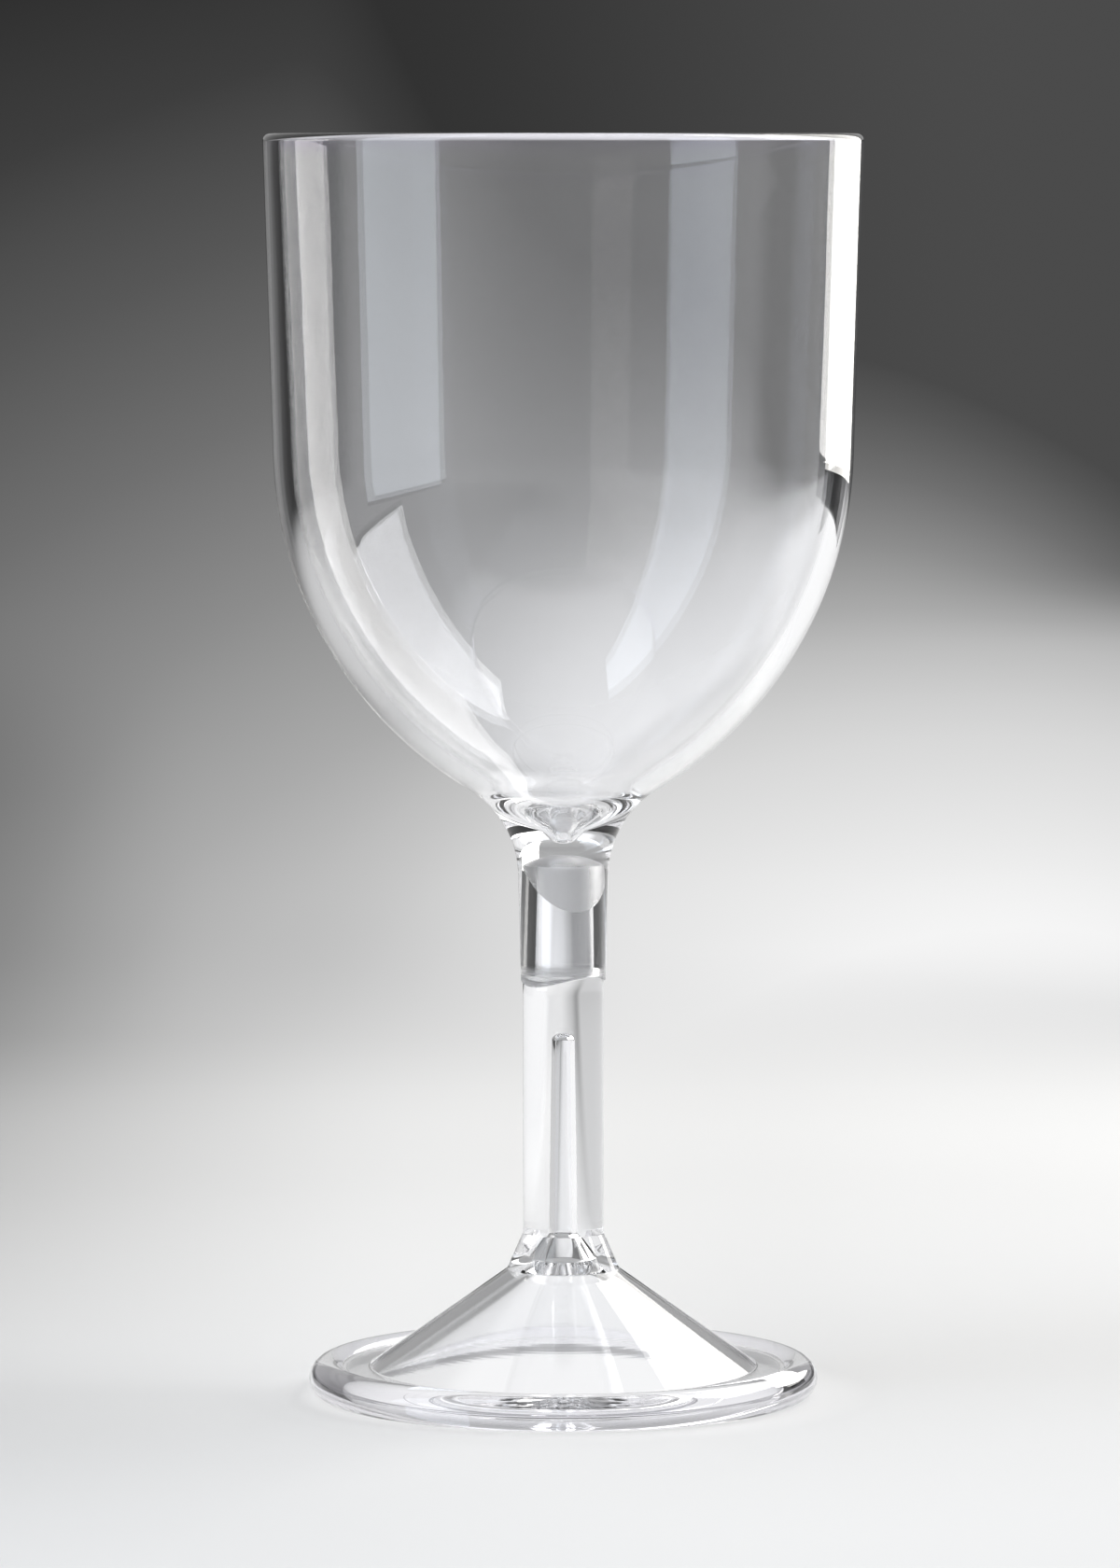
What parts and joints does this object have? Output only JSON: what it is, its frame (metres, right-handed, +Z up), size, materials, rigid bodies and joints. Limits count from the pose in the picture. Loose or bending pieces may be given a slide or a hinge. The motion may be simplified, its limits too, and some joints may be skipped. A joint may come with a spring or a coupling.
{
  "type": "plastic wine glass",
  "caption": "Clear plastic stemmed wine glass with an upright tulip bowl, a hollow conical foot and a push-fit joint in the stem.",
  "frame": {"origin": "middle of the foot, on the surface that the glass stands on", "axes": "+Z up along the stem, -Y towards the front of the picture, +X to its right"},
  "size_m": [0.0782, 0.0782, 0.165],
  "materials": {
    "clear_bowl": "clear, polished, faint lilac in the edges",
    "clear_foot": "clear, polished, finely scuffed underneath"
  },
  "bodies": {
    "foot": {"foot": "clear_foot"},
    "bowl": {"bowl": "clear_bowl"}
  },
  "joints": [
    {"name": "bowl_pull", "type": "slide", "parent": "foot", "child": "bowl", "axis": [0, 0, 1], "range_m": [0, 0.0185]}
  ]
}
